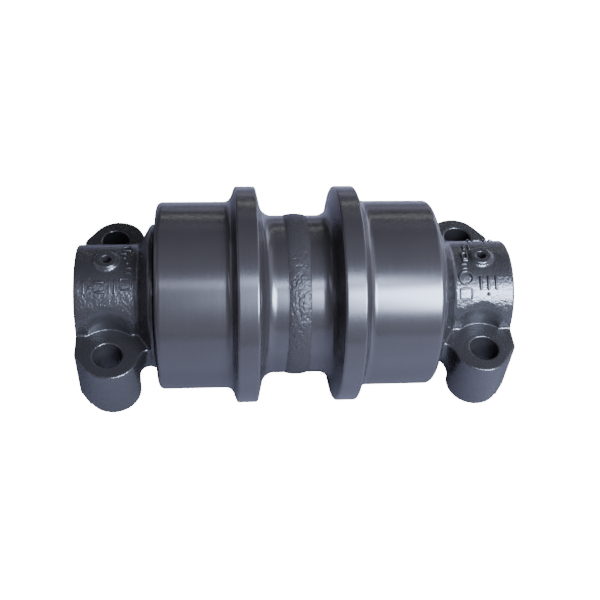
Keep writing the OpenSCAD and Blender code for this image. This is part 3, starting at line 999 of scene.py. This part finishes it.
def soft_box(name, azimuth, elevation, radiance, colour, distance=1.6):
    """A rectangular light that faces the roller and spans two ranges of angles, in degrees.

    Azimuth runs from +X towards +Y. The light's power is radiance * pi * area."""
    middle_a, half_a = math.radians(sum(azimuth) / 2), math.radians(azimuth[1] - azimuth[0]) / 2
    middle_e, half_e = math.radians(sum(elevation) / 2), math.radians(elevation[1] - elevation[0]) / 2
    light = bpy.data.lights.new(name, "AREA")
    light.shape = "RECTANGLE"
    light.size = 2 * distance * math.tan(half_a) * math.cos(middle_e)
    light.size_y = 2 * distance * math.tan(half_e)
    light.energy = radiance * math.pi * light.size * light.size_y
    light.color = from_hex(colour)[:3]
    out = np.array([math.cos(middle_e) * math.cos(middle_a), math.cos(middle_e) * math.sin(middle_a),
                    math.sin(middle_e)])
    across = np.cross([0, 0, 1], out)
    across /= np.linalg.norm(across)
    turn = Matrix(np.stack([across, np.cross(out, across), out], axis=1).tolist()).to_4x4()
    box = bpy.data.objects.new(name, light)
    box.matrix_world = Matrix.Translation((out * distance).tolist()) @ turn
    bpy.context.scene.collection.objects.link(box)
    print(f"{name}: {light.size:.2f} x {light.size_y:.2f} m, {light.energy:.1f} W")


# Name, azimuths, elevations, radiance and colour.
lights = [
    ("key_softbox", (16, 50), (26, 51), 115, "#d0ddff"),  # the white band on the right
    ("key_edge", (6, 16), (27, 51), 20, "#d0ddff"),  # its fading left side, on the waist
    ("strip_right", (3, 27.5), (56.5, 64), 42, "#d0ddff"),  # the line over the band
    ("strip_left", (-30, 3), (57.5, 63.5), 9, "#dce0ff"),  # the same line, on to the left
    ("back_high", (150, 195), (37, 47), 0.5, "#e8f0ff"),  # tops of the back bosses
    ("back_line", (130, 190), (25.4, 26.6), 10, "#f4fff4"),  # the pale line along the treads' tops
    ("left_strip", (-74, -62), (28, 48), 5, "#dce0ff"),  # a thin light on what faces left
    ("side_fill", (60, 125), (8, 60), 1.4, "#dce0ff"),  # the rest keep dark faces off black
    ("back_fill", (115, 146), (4, 22), 4, "#dce0ff"),
    ("back_wide", (140, 188), (1, 9), 1.2, "#e4e4ff"),
    ("back_low", (195, 240), (1, 7), 0.9, "#e4e4ff"),
    ("left_fill", (-120, -65), (2, 30), 1.2, "#e4e4ff"),
]
for row in lights:
    soft_box(*row)

# %% World
WORLD_DIM, WORLD_BRIGHT = 0.14, 1.1  # behind on the left, and in front on the right
TOWARDS_KEY = (0.8, 0.6, 0.0)
DIM_AT, BRIGHT_AT = -0.5, 0.9  # cosines of the angle to that direction
WORLD_BELOW = 1.5  # added under the table, for views of the underside
BELOW_FROM, BELOW_TO = -0.02, -0.3  # heights of the direction, from level to steep

world = bpy.data.worlds.new("dim_room")
world.use_nodes = True
room = world.node_tree
direction = add_node(room, "ShaderNodeTexCoord").outputs["Generated"]
facing = add_node(room, "ShaderNodeVectorMath", {"operation": "DOT_PRODUCT", 1: TOWARDS_KEY},
                  _0=direction)
side = add_node(room, "ShaderNodeMapRange",
                {"From Min": DIM_AT, "From Max": BRIGHT_AT, "To Min": WORLD_DIM, "To Max": WORLD_BRIGHT},
                Value=facing.outputs["Value"])
height = add_node(room, "ShaderNodeSeparateXYZ", Vector=direction).outputs["Z"]
below = add_node(room, "ShaderNodeMapRange",
                 {"From Min": BELOW_FROM, "From Max": BELOW_TO, "To Max": WORLD_BELOW}, Value=height)
both = add_node(room, "ShaderNodeMath", {"operation": "ADD"}, _0=side.outputs["Result"],
                _1=below.outputs["Result"])
seen = add_node(room, "ShaderNodeLightPath").outputs["Is Camera Ray"]
strength = add_node(room, "ShaderNodeMix", {"data_type": "FLOAT", 3: WHITE}, _0=seen, _2=both.outputs[0])
hue = add_node(room, "ShaderNodeMix",
               {"data_type": "RGBA", 6: from_hex("#dcdcf4"), 7: from_hex("#ffffff")}, _0=seen)
room.links.new(hue.outputs[2], room.nodes["Background"].inputs["Color"])
room.links.new(strength.outputs[0], room.nodes["Background"].inputs["Strength"])
bpy.context.scene.world = world
print("room from", WORLD_DIM, "to", WORLD_BRIGHT)

# %% Camera
VIEW_AZIMUTH = math.radians(-7.72)  # from +X towards +Y
VIEW_ELEVATION = math.radians(48.85)
VIEW_ROLL = math.radians(4.96)
VIEW_DISTANCE = 0.838
AIM_RIGHT, AIM_UP = 0.0054, -0.0055  # the point aimed at, in the picture's own plane
LENS, SENSOR = 57.82, 36.0  # mm

back = np.array([
    math.cos(VIEW_ELEVATION) * math.cos(VIEW_AZIMUTH),
    math.cos(VIEW_ELEVATION) * math.sin(VIEW_AZIMUTH),
    math.sin(VIEW_ELEVATION),
])
level = np.cross([0, 0, 1], back)
level /= np.linalg.norm(level)
upright = np.cross(back, level)
right = math.cos(VIEW_ROLL) * level + math.sin(VIEW_ROLL) * upright
up = math.cos(VIEW_ROLL) * upright - math.sin(VIEW_ROLL) * level
camera_data = bpy.data.cameras.new("camera")
camera_data.sensor_width = SENSOR
camera_data.lens = LENS
camera_data.clip_start = 0.01
camera = bpy.data.objects.new("camera", camera_data)
eye = AIM_RIGHT * right + AIM_UP * up + VIEW_DISTANCE * back
pose = Matrix(np.stack([right, up, back], axis=1).tolist()).to_4x4()
camera.matrix_world = Matrix.Translation(eye.tolist()) @ pose
bpy.context.scene.collection.objects.link(camera)
bpy.context.scene.camera = camera
print("camera at", np.round(eye, 3))
